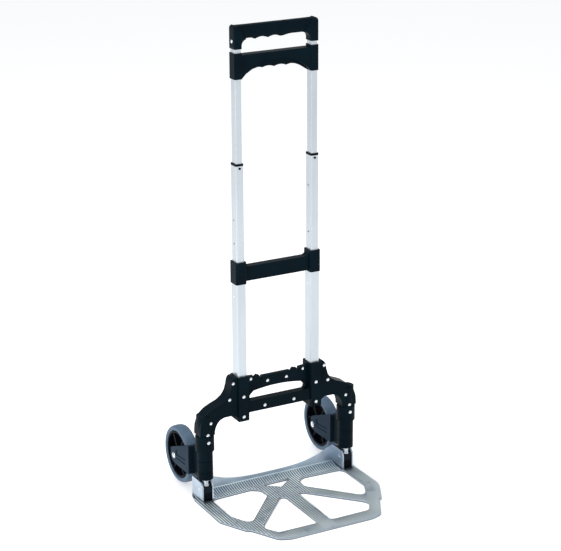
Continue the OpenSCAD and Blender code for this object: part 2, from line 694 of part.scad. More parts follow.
// flush guide rivets in the side walls of the outer tubes
module guide_rivets() color("darkgray") translate([0, tube_y, guide_z])
    for (sx = [-1, 1], s = [0, 1]) translate([sx * tube_x, 0, 0]) mirror([s, 0, 0]) {
        x_rod(stop_hole_d / 2 - 0.02, outer_tube_w / 2 - tube_wall + 0.1, outer_tube_w / 2);
        translate([outer_tube_w / 2, 0, 0]) rotate([0, 90, 0]) dome(stop_hole_d / 2 + 0.4, 0.5);
    }

// ---- middle stage --------------------------------------------------------

module middle_tube_blank(stops) difference() {
    translate([0, 0, middle_bottom]) tube(middle_w, middle_d, middle_r, middle_top - middle_bottom);
    for (i = stops) translate([0, 0, stop_z + i * stop_hole_pitch]) x_rod(stop_hole_d / 2, -big, big);
    translate([0, 0, button_z]) y_rod(button_r + 0.1, -big, 0);
}
module left_middle_tube() color("whitesmoke") translate([-tube_x, tube_y, 0])
    middle_tube_blank([0, 1]);
module right_middle_tube() color("whitesmoke") translate([tube_x, tube_y, 0])
    middle_tube_blank([0, 2]);

module left_glide_ring() color("#0c0e12") translate([-tube_x, tube_y, middle_top])
    linear_extrude(ring_h) difference() {
        rounded_rect(middle_w + 1, middle_d + 1, middle_r + 0.5);
        rounded_rect(inner_w + 2 * plug_gap, inner_d + 2 * plug_gap, inner_r);
    }
module right_glide_ring() mirror([1, 0, 0]) left_glide_ring();

module left_middle_plug() color("#20242c") translate([-tube_x, tube_y, 0]) {
    translate([0, 0, middle_bottom - plug_flange]) linear_extrude(plug_flange) difference() {
        rounded_rect(middle_w + 2 * (stage_gap - plug_gap),
                     middle_d + 2 * (stage_gap - plug_gap), middle_r);
        square([inner_w - 5, inner_d - 5], center = true);
    }
    translate([0, 0, middle_bottom]) linear_extrude(7) difference() {
        rounded_rect(middle_w - 2 * tube_wall, middle_d - 2 * tube_wall, middle_r - tube_wall);
        square([inner_w - 5, inner_d - 5], center = true);
    }
}
module right_middle_plug() mirror([1, 0, 0]) left_middle_plug();

button_r = 2.4;
button_proud = 1.3;
module left_button() color("#08090c") translate([-tube_x, tube_y - middle_d / 2, button_z]) {
    y_rod(button_r, 0.1 - button_proud, tube_wall - 0.1);
    translate([0, 0.1 - button_proud, 0]) rotate([90, 0, 0]) dome(button_r, 0.5);
}
module right_button() mirror([1, 0, 0]) left_button();

// ---- inner stage ---------------------------------------------------------

slot_low = release_pin_z - release_pin_r - 0.4;
slot_high = release_pin_z + release_pin_r + grip_travel + 0.6;
module left_inner_tube() color("whitesmoke") translate([-tube_x, tube_y, 0]) difference() {
    translate([0, 0, inner_bottom]) tube(inner_w, inner_d, inner_r, inner_top - inner_bottom);
    translate([0, 0, button_z]) y_rod(button_r + 0.2, -big, 0);
    translate([-release_pin_r - 0.2, -big / 2, slot_low])
        cube([2 * release_pin_r + 0.4, big, slot_high - slot_low]);
    translate([0, 0, handle_z + 15]) x_rod(screw_r + 0.1, -big, 0);
}
module right_inner_tube() mirror([1, 0, 0]) left_inner_tube();

module left_inner_plug() color("#20242c") translate([-tube_x, tube_y, 0]) {
    translate([0, 0, inner_bottom - plug_flange]) linear_extrude(plug_flange)
        rounded_rect(inner_w + 2 * (stage_gap - plug_gap),
                     inner_d + 2 * (stage_gap - plug_gap), inner_r);
    translate([0, 0, inner_bottom]) linear_extrude(16)
        rounded_rect(inner_w - 2 * tube_wall, inner_d - 2 * tube_wall, inner_r - tube_wall);
}
module right_inner_plug() mirror([1, 0, 0]) left_inner_plug();

// folded strip spring whose nub stands in the inner tube's hole
spring_y = inner_d / 2 - tube_wall;
module left_snap_spring() color("lightsteelblue") translate([-tube_x, tube_y, button_z]) {
    translate([-3, -spring_y + 0.1, -22]) cube([6, 0.8, 28]);
    translate([-3, spring_y - 0.9, -22]) cube([6, 0.8, 10]);
    translate([-3, -spring_y + 0.1, -22]) cube([6, 2 * spring_y - 0.2, 0.8]);
    y_rod(button_r - 0.3, -spring_y - 0.4, -spring_y + 0.5);
}
module right_snap_spring() mirror([1, 0, 0]) left_snap_spring();

// ---- top handle ----------------------------------------------------------

screw_r = 1.8;
grip_in = tube_x - grip_sleeve_w / 2;
corner = 13;
function scallop(x_from, x_to, z, rise, n) =
    [for (i = [1 : n]) [x_from + (x_to - x_from) * i / n, z + rise * sin(180 * i / n)]];
handle_under = handle_bar_bottom;
handle_profile = concat(
    [[-grip_in - 2, overall_height - 3], [-grip_in - 2, handle_z + 4], [-grip_in, handle_z + 4]],
    [for (a = [180 : -15 : 90])
        [corner - grip_in + corner * cos(a), handle_under - corner + 3 + corner * sin(a)]],
    scallop(-56, -42, handle_under + 2, 1.2, 4),
    [[-42, handle_under + 0.2]],
    scallop(-42, -14, handle_under + 0.2, 3.2, 8),
    scallop(-14, 14, handle_under + 0.2, 3.2, 8),
    [for (i = [1 : 6]) [14 + 24 * i / 6, handle_under + 0.2 + 3.6 * sin(90 * i / 6)]],
    [for (a = [90 : -15 : 0])
        [grip_in - corner + corner * cos(a), handle_under - corner + 3 + corner * sin(a)]],
    [[grip_in, handle_z + 4], [grip_in + 2, handle_z + 4], [grip_in + 2, overall_height - 3]]
);
module top_handle() color("#10161e") translate([0, tube_y, 0]) difference() {
    union() {
        on_both_sides() translate([tube_x, 0, handle_z]) linear_extrude(handle_h)
            rounded_rect(grip_sleeve_w, grip_sleeve_d, 3);
        front_shape(grip_sleeve_d / 2 - grip_bar_d, grip_sleeve_d / 2) polygon(handle_profile);
    }
    on_both_sides() translate([tube_x, 0, handle_z - 1]) linear_extrude(inner_top - handle_z + 1)
        rounded_rect(inner_w, inner_d, inner_r);
    on_both_sides() translate([tube_x, 0, handle_z + 15]) x_rod(screw_r + 0.1, 0, big);
}
module handle_screws() color("white") translate([0, tube_y, handle_z + 15]) on_both_sides()
    translate([tube_x, 0, 0]) {
        x_rod(screw_r, inner_w / 2 - tube_wall - 2, grip_sleeve_w / 2);
        translate([grip_sleeve_w / 2, 0, 0]) rotate([0, 90, 0]) dome(3.6, 1.4);
    }

// ---- release grip --------------------------------------------------------

grip_mid = grip_z + 16;
grip_top = grip_z + 48;
pin_front = 1.6 - grip_sleeve_d / 2;
arch_n = 12;
arch_half = grip_in + 1;
grip_front = concat(
    [[-grip_in - 2, grip_top], [-grip_in - 2, grip_z]],
    [for (i = [0 : arch_n])
        let (f = 2 * i / arch_n - 1)
        [arch_half * f, grip_z + 33 * (1 - pow(abs(f), 2.6))]],
    [[grip_in + 2, grip_z], [grip_in + 2, grip_top]]
);
grip_rear = concat(
    [[-grip_in - 2, grip_top], [-grip_in - 2, grip_z], [-grip_in, grip_z], [-62, grip_z + 8],
     [-50, grip_mid - 1]],
    scallop(-44, -28, grip_mid + 0.5, 1.6, 5),
    scallop(-28, -1, grip_mid, 3, 8),
    scallop(-1, 26, grip_mid, 3, 8),
    scallop(26, 48, grip_mid, 2, 6),
    [[60, grip_mid - 5], [grip_in, grip_z], [grip_in + 2, grip_z], [grip_in + 2, grip_top]]
);
module release_grip() color("#10161e") translate([0, tube_y, 0]) difference() {
    union() {
        on_both_sides() translate([tube_x, 0, grip_z]) linear_extrude(grip_h)
            rounded_rect(grip_sleeve_w, grip_sleeve_d, 3);
        front_shape(-grip_sleeve_d / 2 + 2, 0) polygon(grip_front);
        front_shape(-1, grip_bar_d / 2) polygon(grip_rear);
    }
    on_both_sides() translate([tube_x, 0, 0]) {
        translate([0, 0, grip_z - 1]) linear_extrude(grip_h + 2)
            rounded_rect(inner_w + 0.3, inner_d + 0.3, inner_r + 0.15);
        translate([0, 0, release_pin_z]) y_rod(release_pin_r + 0.02, pin_front, grip_sleeve_d);
    }
}
module release_pins() color("darkgray") translate([0, tube_y, release_pin_z]) on_both_sides()
    translate([tube_x, 0, 0]) y_rod(release_pin_r, pin_front + 0.2, grip_sleeve_d / 2 - 1);

rod_bottom = inner_bottom + 20;
collar_rod_z = release_pin_z - 90;
module release_rods() color("darkgray") translate([0, tube_y, 0]) on_both_sides()
    translate([tube_x, 0, 0]) difference() {
        union() {
            translate([0, 0, rod_bottom + 150]) cylinder(h = release_pin_z + 6 - rod_bottom - 150, r = rod_r);
            translate([0, 0, collar_rod_z]) cylinder(h = 3, r = rod_r + 1.7);
        }
        translate([0, 0, release_pin_z]) y_rod(release_pin_r + 0.02, -big, big);
    }
guide_rod_z = collar_rod_z + 40;
module rod_guides() color("#20242c") translate([0, tube_y, guide_rod_z]) on_both_sides()
    translate([tube_x, 0, 0]) linear_extrude(6) difference() {
        rounded_rect(inner_w - 2 * tube_wall, inner_d - 2 * tube_wall, inner_r - tube_wall);
        circle(rod_r + 0.1);
    }

// coil spring between the rod's collar and its guide
coil_low = collar_rod_z + 3;
coil_high = guide_rod_z;
coil_r = rod_r + 1;
wire_r = 0.5;
coils = 6;
module left_grip_spring() color("lightsteelblue") translate([-tube_x, tube_y, 0])
    translate([0, 0, coil_low])
        linear_extrude(coil_high - coil_low, twist = -360 * coils, slices = 10 * coils)
            translate([coil_r, 0]) circle(wire_r, $fn = 5);
module right_grip_spring() mirror([1, 0, 0]) left_grip_spring();

toe_plate();
left_hinge_pin();
right_hinge_pin();
left_toe_gear();
right_toe_gear();
left_leg_post();
right_leg_post();
left_knuckle();
right_knuckle();
left_foot_shoe();
right_foot_shoe();
left_fork_gear();
right_fork_gear();
left_fork();
right_fork();
left_thrust_washer();
right_thrust_washer();
left_axle_bolt();
right_axle_bolt();
left_axle_nut();
right_axle_nut();
left_rim();
right_rim();
left_tyre();
right_tyre();
left_hub_bushes();
right_hub_bushes();
casing_front();
casing_rear();
casing_rivets();
socket_rivets();
left_outer_tube();
right_outer_tube();
mid_crossbar();
crossbar_rivets();
guide_rivets();
left_middle_tube();
right_middle_tube();
left_glide_ring();
right_glide_ring();
left_middle_plug();
right_middle_plug();
left_button();
right_button();
left_inner_tube();
right_inner_tube();
left_inner_plug();
right_inner_plug();
left_snap_spring();
right_snap_spring();
top_handle();
handle_screws();
release_grip();
release_rods();
release_pins();
rod_guides();
left_grip_spring();
right_grip_spring();
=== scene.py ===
import json
import math

import bmesh
import bpy
import numpy as np
from mathutils import Matrix, Vector


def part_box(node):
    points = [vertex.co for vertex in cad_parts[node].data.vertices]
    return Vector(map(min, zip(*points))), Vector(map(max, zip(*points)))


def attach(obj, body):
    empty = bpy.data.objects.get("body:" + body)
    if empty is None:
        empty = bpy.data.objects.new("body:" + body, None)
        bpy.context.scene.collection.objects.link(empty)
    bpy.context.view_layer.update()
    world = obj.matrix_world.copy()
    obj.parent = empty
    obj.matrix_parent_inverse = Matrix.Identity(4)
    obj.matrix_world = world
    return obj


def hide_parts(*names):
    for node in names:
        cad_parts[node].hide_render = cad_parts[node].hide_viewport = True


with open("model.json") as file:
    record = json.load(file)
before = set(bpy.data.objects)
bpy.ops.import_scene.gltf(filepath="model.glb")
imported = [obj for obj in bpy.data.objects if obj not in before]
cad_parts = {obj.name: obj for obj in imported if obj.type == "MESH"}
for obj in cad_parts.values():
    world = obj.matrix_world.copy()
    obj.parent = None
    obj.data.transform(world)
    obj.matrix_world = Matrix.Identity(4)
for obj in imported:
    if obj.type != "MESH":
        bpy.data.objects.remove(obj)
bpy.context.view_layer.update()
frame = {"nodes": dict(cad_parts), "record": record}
body_of_node = {
    node: body for body, nodes in frame["record"]["behaviour"]["bodies"].items() for node in nodes
}

# ---- the view ---------------------------------------------------------------
# A long lens, a little above the handle's height and left of the truck, looking down at
# the middle of the frame.
view_azimuth = math.radians(28.3004)
view_elevation = math.radians(18.7877)
view_roll = math.radians(-0.2959)
view_distance = 3.83114
view_target = Vector((0.01149, -0.022, 0.471655))
view_lens = 119.06

ahead = Vector((
    math.sin(view_azimuth) * math.cos(view_elevation),
    math.cos(view_azimuth) * math.cos(view_elevation),
    -math.sin(view_elevation),
))
level = Vector((math.cos(view_azimuth), -math.sin(view_azimuth), 0.0))
upright = level.cross(ahead)
right = level * math.cos(view_roll) + upright * math.sin(view_roll)
up = upright * math.cos(view_roll) - level * math.sin(view_roll)
camera = bpy.data.objects.new("camera", bpy.data.cameras.new("camera"))
camera.data.lens = view_lens
camera.data.sensor_width = 36.0
camera.data.sensor_fit = "HORIZONTAL"
camera.data.clip_end = 50.0
camera.matrix_world = Matrix.Translation(view_target - ahead * view_distance) @ Matrix(
    (right, up, -ahead)).transposed().to_4x4()
bpy.context.scene.collection.objects.link(camera)
bpy.context.scene.camera = camera

# ---- the studio -------------------------------------------------------------
# A seamless white floor under large soft lamps: the main one high on the left, a weaker one
# in front on the right, and a broad one overhead.
floor_half = 14.0
floor_mesh = bpy.data.meshes.new("floor")
floor_mesh.from_pydata(
    [(-floor_half, -floor_half, 0), (floor_half, -floor_half, 0), (floor_half, floor_half, 0),
     (-floor_half, floor_half, 0)], [], [(0, 1, 2, 3)])
floor = bpy.data.objects.new("floor", floor_mesh)
bpy.context.scene.collection.objects.link(floor)
floor_paint = bpy.data.materials.new("floor_white")
floor_paint.use_nodes = True
floor_shader = floor_paint.node_tree.nodes["Principled BSDF"]
floor_shader.inputs["Base Color"].default_value = (0.93, 0.93, 0.93, 1)
floor_shader.inputs["Roughness"].default_value = 0.9
floor_shader.inputs["Emission Color"].default_value = (1, 1, 1, 1)
floor_shader.inputs["Emission Strength"].default_value = 0.36
floor_mesh.materials.append(floor_paint)

world = bpy.data.worlds.new("studio")
world.use_nodes = True
sky = world.node_tree.nodes["Background"]
sky.inputs["Color"].default_value = (0.96, 0.98, 1.0, 1)
sky.inputs["Strength"].default_value = 0.62
backdrop = world.node_tree.nodes.new("ShaderNodeBackground")
backdrop.inputs["Color"].default_value = (1, 1, 1, 1)
backdrop.inputs["Strength"].default_value = 1.0
seen = world.node_tree.nodes.new("ShaderNodeLightPath")
choose = world.node_tree.nodes.new("ShaderNodeMixShader")
world.node_tree.links.new(seen.outputs["Is Camera Ray"], choose.inputs["Fac"])
world.node_tree.links.new(sky.outputs["Background"], choose.inputs[1])
world.node_tree.links.new(backdrop.outputs["Background"], choose.inputs[2])
world.node_tree.links.new(choose.outputs["Shader"], world.node_tree.nodes["World Output"].inputs["Surface"])
bpy.context.scene.world = world
bpy.context.scene.view_settings.view_transform = "Standard"


def softbox(name, place, aim, size, power):
    """A square lamp at place, turned so that its face looks at aim."""
    lamp = bpy.data.lights.new(name, "AREA")
    lamp.shape = "SQUARE"
    lamp.size = size
    lamp.energy = power
    holder = bpy.data.objects.new(name, lamp)
    holder.location = place
    holder.rotation_euler = (Vector(aim) - Vector(place)).to_track_quat("-Z", "Y").to_euler()
    bpy.context.scene.collection.objects.link(holder)


softbox("lamp_left", (-2.8, -0.6, 1.8), (0, 0, 0.4), 1.6, 46.0)
softbox("lamp_front", (1.2, -3.4, 1.8), (0, 0, 0.4), 2.0, 12.0)
softbox("lamp_top", (0.0, 0.2, 3.2), (0, 0, 0.3), 2.4, 36.0)

# ---- toe plate ----------------------------------------------------------------
# The load plate: one aluminium casting with five windows, a raised rear wall and two pairs
# of ears. Its edges are ground smooth, and fine anti-slip ribs run from back to front.
edge_ground = 0.0012
rib_pitch = 0.0056
rib_half = 0.0014
rib_rise = 0.0009
rib_inset = 0.0026
rib_taper = 0.0012
rib_sunk = 0.00005
bead_radius = 0.0013
alloy_colour = (0.46, 0.54, 0.63)


def paint(name, rough, metallic=0.0, gloss=0.5):
    """A new material with its shader's own values set; returns it with its tree and shader."""
    material = bpy.data.materials.new(name)
    material.use_nodes = True
    shader = material.node_tree.nodes["Principled BSDF"]
    shader.inputs["Roughness"].default_value = rough
    shader.inputs["Metallic"].default_value = metallic
    shader.inputs["Specular IOR Level"].default_value = gloss
    return material, material.node_tree, shader


def speckle(tree, scale, stretch=(1, 1, 1), detail=4.0):
    """Noise on the piece's own coordinates, in metres; stretch divides the pattern's size per axis."""
    place = tree.nodes.new("ShaderNodeTexCoord")
    turn = tree.nodes.new("ShaderNodeMapping")
    turn.inputs["Scale"].default_value = stretch
    noise = tree.nodes.new("ShaderNodeTexNoise")
    noise.inputs["Scale"].default_value = scale
    noise.inputs["Detail"].default_value = detail
    tree.links.new(place.outputs["Object"], turn.inputs["Vector"])
    tree.links.new(turn.outputs["Vector"], noise.inputs["Vector"])
    return noise.outputs["Fac"]


def between(tree, factor, low, high):
    """Colours from low to high as factor goes from 0.3 to 0.7."""
    ramp = tree.nodes.new("ShaderNodeValToRGB")
    ramp.color_ramp.elements[0].position = 0.3
    ramp.color_ramp.elements[1].position = 0.7
    ramp.color_ramp.elements[0].color = (*low, 1)
    ramp.color_ramp.elements[1].color = (*high, 1)
    tree.links.new(factor, ramp.inputs["Fac"])
    return ramp.outputs["Color"]


def spread(tree, factor, low, high):
    """A number from low to high as factor goes from 0.3 to 0.7."""
    span = tree.nodes.new("ShaderNodeMapRange")
    span.inputs["From Min"].default_value = 0.3
    span.inputs["From Max"].default_value = 0.7
    span.inputs["To Min"].default_value = low
    span.inputs["To Max"].default_value = high
    tree.links.new(factor, span.inputs["Value"])
    return span.outputs["Result"]


def relief(tree, shader, height, depth, strength):
    """A bump of the given depth in metres into the shader's normal."""
    bump = tree.nodes.new("ShaderNodeBump")
    bump.inputs["Distance"].default_value = depth
    bump.inputs["Strength"].default_value = strength
    tree.links.new(height, bump.inputs["Height"])
    tree.links.new(bump.outputs["Normal"], shader.inputs["Normal"])


def shade(colour, factor):
    """The colour, darker or lighter by the factor."""
    return tuple(min(1.0, c * factor) for c in colour)


def cast_alloy(name, colour, rough):
    """Cast aluminium: cloudy oxide over a fine sandy skin."""
    material, tree, shader = paint(name, rough, 0.92)
    cloud = speckle(tree, 28.0)
    tint = between(tree, cloud, shade(colour, 0.86), shade(colour, 1.14))
    tree.links.new(tint, shader.inputs["Base Color"])
    tree.links.new(spread(tree, cloud, rough - 0.06, rough + 0.1), shader.inputs["Roughness"])
    relief(tree, shader, speckle(tree, 900.0), 0.00012, 0.5)
    return material


def dress(name, material):
    """The CAD node keeps its own mesh and takes the material."""
    piece = frame["nodes"][name]
    piece.data.materials.clear()
    piece.data.materials.append(material)


def softened(name, material, round_off):
    """A piece with the node's shape and its edges rounded off: the node's triangles merged into whole
    faces, every edge sharper than 32 degrees bevelled by round_off."""
    source = frame["nodes"][name]
    work = bmesh.new()
    work.from_mesh(source.data)
    bmesh.ops.remove_doubles(work, verts=work.verts, dist=2e-6)
    bmesh.ops.dissolve_limit(work, angle_limit=math.radians(0.6), verts=work.verts, edges=work.edges)
    mesh = bpy.data.meshes.new(name + "_shaped")
    work.to_mesh(mesh)
    work.free()
    mesh.polygons.foreach_set("use_smooth", np.ones(len(mesh.polygons), bool))
    mesh.materials.append(material)
    piece = bpy.data.objects.new(name + "_shaped", mesh)
    bpy.context.scene.collection.objects.link(piece)
    bevel = piece.modifiers.new("edges", "BEVEL")
    bevel.width = round_off
    bevel.segments = 2
    bevel.limit_method = "ANGLE"
    bevel.angle_limit = math.radians(32.0)
    bevel.use_clamp_overlap = True
    even = piece.modifiers.new("shading", "WEIGHTED_NORMAL")
    even.keep_sharp = True
    even.mode = "FACE_AREA_WITH_ANGLE"
    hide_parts(name)
    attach(piece, body_of_node[name])
    return piece


def made(name, points, faces, material, body):
    """A new mesh piece from arrays of points and faces, smooth, riding on the body."""
    mesh = bpy.data.meshes.new(name)
    mesh.from_pydata(np.asarray(points, float).reshape(-1, 3).tolist(), [], np.asarray(faces).tolist())
    mesh.polygons.foreach_set("use_smooth", np.ones(len(mesh.polygons), bool))
    mesh.materials.append(material)
    piece = bpy.data.objects.new(name, mesh)
    bpy.context.scene.collection.objects.link(piece)
    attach(piece, body)
    return piece


def top_edges(name, level_z, slack=2e-5):
    """The boundary of the node's flat upward face at height level_z: its triangles' edges that belong to
    one such triangle only, as an array of (start, end) points in x and y."""
    mesh = frame["nodes"][name].data
    at = np.zeros(len(mesh.vertices) * 3)
    mesh.vertices.foreach_get("co", at)
    at = at.reshape(-1, 3)
    mesh.calc_loop_triangles()
    tri = np.zeros(len(mesh.loop_triangles) * 3, int)
    mesh.loop_triangles.foreach_get("vertices", tri)
    corner = at[tri].reshape(-1, 3, 3)
    flat = (np.abs(corner[:, :, 2] - level_z) < slack).all(1)
    corner = corner[flat][:, :, :2]
    key = np.round(corner / 1e-6).astype(np.int64)
    start, end = key, np.roll(key, -1, 1)
    pair = np.concatenate([start, end], 2).reshape(-1, 4)
    swap = (pair[:, 0] > pair[:, 2]) | ((pair[:, 0] == pair[:, 2]) & (pair[:, 1] > pair[:, 3]))
    pair[swap] = pair[swap][:, [2, 3, 0, 1]]
    only, count = np.unique(pair, axis=0, return_counts=True)
    return only[count == 1].reshape(-1, 2, 2) * 1e-6


def rib_spans(edges, x):
    """The stretches of y inside the boundary along the line at x: the crossings sorted and paired."""
    a, b = edges[:, 0], edges[:, 1]
    hit = (a[:, 0] - x) * (b[:, 0] - x) < 0
    a, b = a[hit], b[hit]
    y = np.sort(a[:, 1] + (x - a[:, 0]) / (b[:, 0] - a[:, 0]) * (b[:, 1] - a[:, 1]))
    return y[: len(y) // 2 * 2].reshape(-1, 2)


def tread(name, edges, level_z, slope_from, slope_to, slope_rise, slope_half, material, body):
    """Low rounded ribs along y at a fixed pitch: each rib is a five-point arch in x, tapered down at both
    ends, one for every stretch of plate that the line at its x crosses. A rib that reaches slope_from
    carries on up the fillet to slope_to, rising by slope_rise."""
    reach = np.abs(edges[:, :, 0]).max()
    lines = (np.arange(-int(reach / rib_pitch), int(reach / rib_pitch) + 1) + 1 / 3) * rib_pitch
    spans = []
    for x in lines:
        for low, high in rib_spans(edges, x):
            climbs = high > slope_from - 1e-4 and abs(x) < slope_half
            spans.append((x, low + rib_inset, slope_to if climbs else high - rib_inset))
    spans = np.array(spans)
    spans = spans[spans[:, 2] - spans[:, 1] > 2 * rib_inset]
    full = np.array([0.0, 1.0, 1.0, 1.0, 0.0])
    side = len(full)
    across = np.cos(np.linspace(math.pi, 0, side)) * rib_half
    arch = np.sin(np.linspace(0, math.pi, side)) * rib_rise
    start, stop = spans[:, 1], spans[:, 2]
    bend = np.clip(slope_from, start + 0.002, stop - 0.002)
    y = np.stack([start, start + rib_taper, bend, stop - rib_taper, stop], 1)
    grade = slope_rise / (slope_to - slope_from)
    foot = level_z - rib_sunk + np.maximum(0, y - slope_from) * grade
    grid = np.zeros((len(spans), side, side, 3))
    grid[..., 0] = spans[:, None, None, 0] + across
    grid[..., 1] = y[:, :, None]
    grid[..., 2] = foot[:, :, None] + full[:, None] * arch
    base = (np.arange(len(spans)) * side * side)[:, None, None]
    row = np.arange(side - 1)[None, :, None] * side
    col = np.arange(side - 1)[None, None, :]
    first = (base + row + col).reshape(-1)
    faces = np.stack([first, first + 1, first + side + 1, first + side], 1)
    made(name, grid, faces, material, body)


def painted_light_bands(name, colour, rough, zones):
    """Cast aluminium whose colour changes with height, to paint light and shade in bands: zones lists
    heights from the top down, each with the colour that lies below it, and the plain colour lies above them
    all."""
    material = cast_alloy(name, colour, rough)
    tree = material.node_tree
    shader = tree.nodes["Principled BSDF"]
    place = tree.nodes.new("ShaderNodeTexCoord")
    parts = tree.nodes.new("ShaderNodeSeparateXYZ")
    tree.links.new(place.outputs["Object"], parts.inputs["Vector"])
    colours = shader.inputs["Base Color"].links[0].from_socket
    for height, tint in zones:
        step = tree.nodes.new("ShaderNodeMapRange")
        step.inputs["From Min"].default_value = height - 0.0002
        step.inputs["From Max"].default_value = height + 0.0001
        mix = tree.nodes.new("ShaderNodeMix")
        mix.data_type = "RGBA"
        mix.inputs[6].default_value = (*tint, 1)
        tree.links.new(parts.outputs["Z"], step.inputs["Value"])
        tree.links.new(step.outputs["Result"], mix.inputs[0])
        tree.links.new(colours, mix.inputs[7])
        colours = mix.outputs[2]
    tree.links.new(colours, shader.inputs["Base Color"])
    return material


def bead(name, start_x, stop_x, y, z, radius, material, body):
    """A round bead along x: a circle of 14 points carried from end to end, its radius falling to nothing
    close to both ends, as the square root of one less a high power of the distance from the middle."""
    s = np.linspace(0, 1, 40)
    ease = np.sqrt(np.clip(1 - np.abs(2 * s - 1) ** 40, 0, 1))
    t = np.linspace(0, 2 * math.pi, 14, endpoint=False)
    points = np.zeros((len(s), len(t), 3))
    points[..., 0] = (start_x + (stop_x - start_x) * s)[:, None]
    points[..., 1] = y + radius * ease[:, None] * np.cos(t)
    points[..., 2] = z + radius * ease[:, None] * np.sin(t)
    rows, columns = np.meshgrid(np.arange(len(s) - 1), np.arange(len(t)), indexing="ij")
    first, after = rows * len(t) + columns, rows * len(t) + (columns + 1) % len(t)
    faces = np.stack([first, first + len(t), after + len(t), after], -1).reshape(-1, 4)
    made(name, points, faces, material, body)


plate_thick = 0.004
plate_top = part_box("toe_plate")[0][2] + plate_thick
slope_from, slope_to, slope_rise = -0.008, 0.0105, 0.0052
wall_half = 0.1555
# Painted light and shade by height: the plate top between the ribs and the fillet up to the wall are
# painted dark (0.38) as shade, a thin band just under the top edge is painted bright (1.45) as a highlight
# on the lip, and the side faces and window walls below it are painted dark (0.22) as shadow.
toe_painted_light_metal = painted_light_bands("toe_alloy_painted_light", alloy_colour, 0.34, [
    (plate_top + slope_rise, shade(alloy_colour, 0.38)),
    (plate_top - 0.0001, shade(alloy_colour, 1.45)),
    (plate_top - 0.0011, shade(alloy_colour, 0.22)),
])
toe_piece = softened("toe_plate", toe_painted_light_metal, edge_ground)
# The ribs and the bead take a copy of the plate's alloy painted much lighter: painted highlight on their
# tops.
rib_highlight_metal = cast_alloy("toe_rib_painted_highlight", (0.78, 0.91, 1.0), 0.30)
tread("toe_tread", top_edges("toe_plate", plate_top), plate_top, slope_from, slope_to, slope_rise,
      wall_half, rib_highlight_metal, "toe")
bead("toe_bead", -wall_half - 0.0006, wall_half + 0.0006, slope_to + 0.0010,
     plate_top + slope_rise + 0.0008, bead_radius, rib_highlight_metal, "toe")

# ---- hinge pins, knuckles and leg posts ---------------------------------------
# Turned pins through the ears, round posts and the small gear pair that folds the wheels with
# the plate are zinc-plated steel. The machined knuckles that hold the posts are blackened.


def plated(name, colour, rough, stretch):
    """Bright plated steel with fine turning marks across the stretch."""
    material, tree, shader = paint(name, rough, 1.0)
    marks = speckle(tree, 260.0, stretch)
    tint = between(tree, marks, shade(colour, 0.9), shade(colour, 1.06))
    tree.links.new(tint, shader.inputs["Base Color"])
    tree.links.new(spread(tree, marks, rough - 0.05, rough + 0.08), shader.inputs["Roughness"])
    relief(tree, shader, marks, 0.00003, 0.5)
    return material


black_oxide = plated("black_oxide", (0.012, 0.016, 0.022), 0.4, (1, 1, 2))
zinc = plated("zinc_steel", (0.62, 0.66, 0.70), 0.28, (1, 1, 5))
for side in ("left", "right"):
    for part in ("hinge_pin", "toe_gear", "leg_post", "fork_gear"):
        dress(f"{side}_{part}", zinc)
    softened(f"{side}_knuckle", black_oxide, 0.0006)

# ---- foot shoes and thrust washers ---------------------------------------------
# Black nylon: the shoe under each knuckle, between the ears, and the thin washer between
# the fork's barrel and the casing.


def moulded(name, colour, rough):
    """Moulded plastic: an even colour with faint flow marks and a fine spark-eroded grain."""
    material, tree, shader = paint(name, rough, 0.0, 0.035)
    flow = speckle(tree, 22.0, (1, 1, 1), 2.0)
    tint = between(tree, flow, shade(colour, 0.8), shade(colour, 1.25))
    tree.links.new(tint, shader.inputs["Base Color"])
    tree.links.new(spread(tree, flow, rough - 0.05, rough + 0.07), shader.inputs["Roughness"])
    relief(tree, shader, speckle(tree, 1500.0, (1, 1, 1), 2.0), 0.00004, 0.6)
    return material


nylon = moulded("black_nylon", (0.003, 0.004, 0.006), 0.45)
for side in ("left", "right"):
    dress(f"{side}_thrust_washer", nylon)
    softened(f"{side}_foot_shoe", nylon, 0.0005)

# ---- wheel forks ----------------------------------------------------------------
# Glass-filled nylon mouldings, each with a barrel round the leg post, a web and two side
# plates with recessed panels. The plates are painted lighter than the barrel, from fork_plate_y back:
# painted light on the plates, painted shade on the barrel and web.
fork_plate_y = 0.0118


def painted_light_split(name, near, far, rough, border):
    """Moulded plastic of the colour near in front of the border along y, and far behind it: one plastic in
    a shaded and a lit copy.
    """
    material = moulded(name, near, rough)
    tree = material.node_tree
    shader = tree.nodes["Principled BSDF"]
    plain = shader.inputs["Base Color"].links[0].from_socket
    place = tree.nodes.new("ShaderNodeTexCoord")
    parts = tree.nodes.new("ShaderNodeSeparateXYZ")
    step = tree.nodes.new("ShaderNodeMapRange")
    mix = tree.nodes.new("ShaderNodeMix")
    mix.data_type = "RGBA"
    step.inputs["From Min"].default_value = border - 0.0006
    step.inputs["From Max"].default_value = border
    mix.inputs[7].default_value = (*far, 1)
    tree.links.new(place.outputs["Object"], parts.inputs["Vector"])
    tree.links.new(parts.outputs["Y"], step.inputs["Value"])
    tree.links.new(step.outputs["Result"], mix.inputs[0])
    tree.links.new(plain, mix.inputs[6])
    tree.links.new(mix.outputs[2], shader.inputs["Base Color"])
    return material


# Painted shade on the barrel and web in front of fork_plate_y, painted light on the side plates behind it,
# several times lighter.
fork_plastic = painted_light_split("fork_plastic", (0.0015, 0.0068, 0.011), (0.010, 0.026, 0.046), 0.38, fork_plate_y)
for side in ("left", "right"):
    softened(f"{side}_fork", fork_plastic, 0.0009)

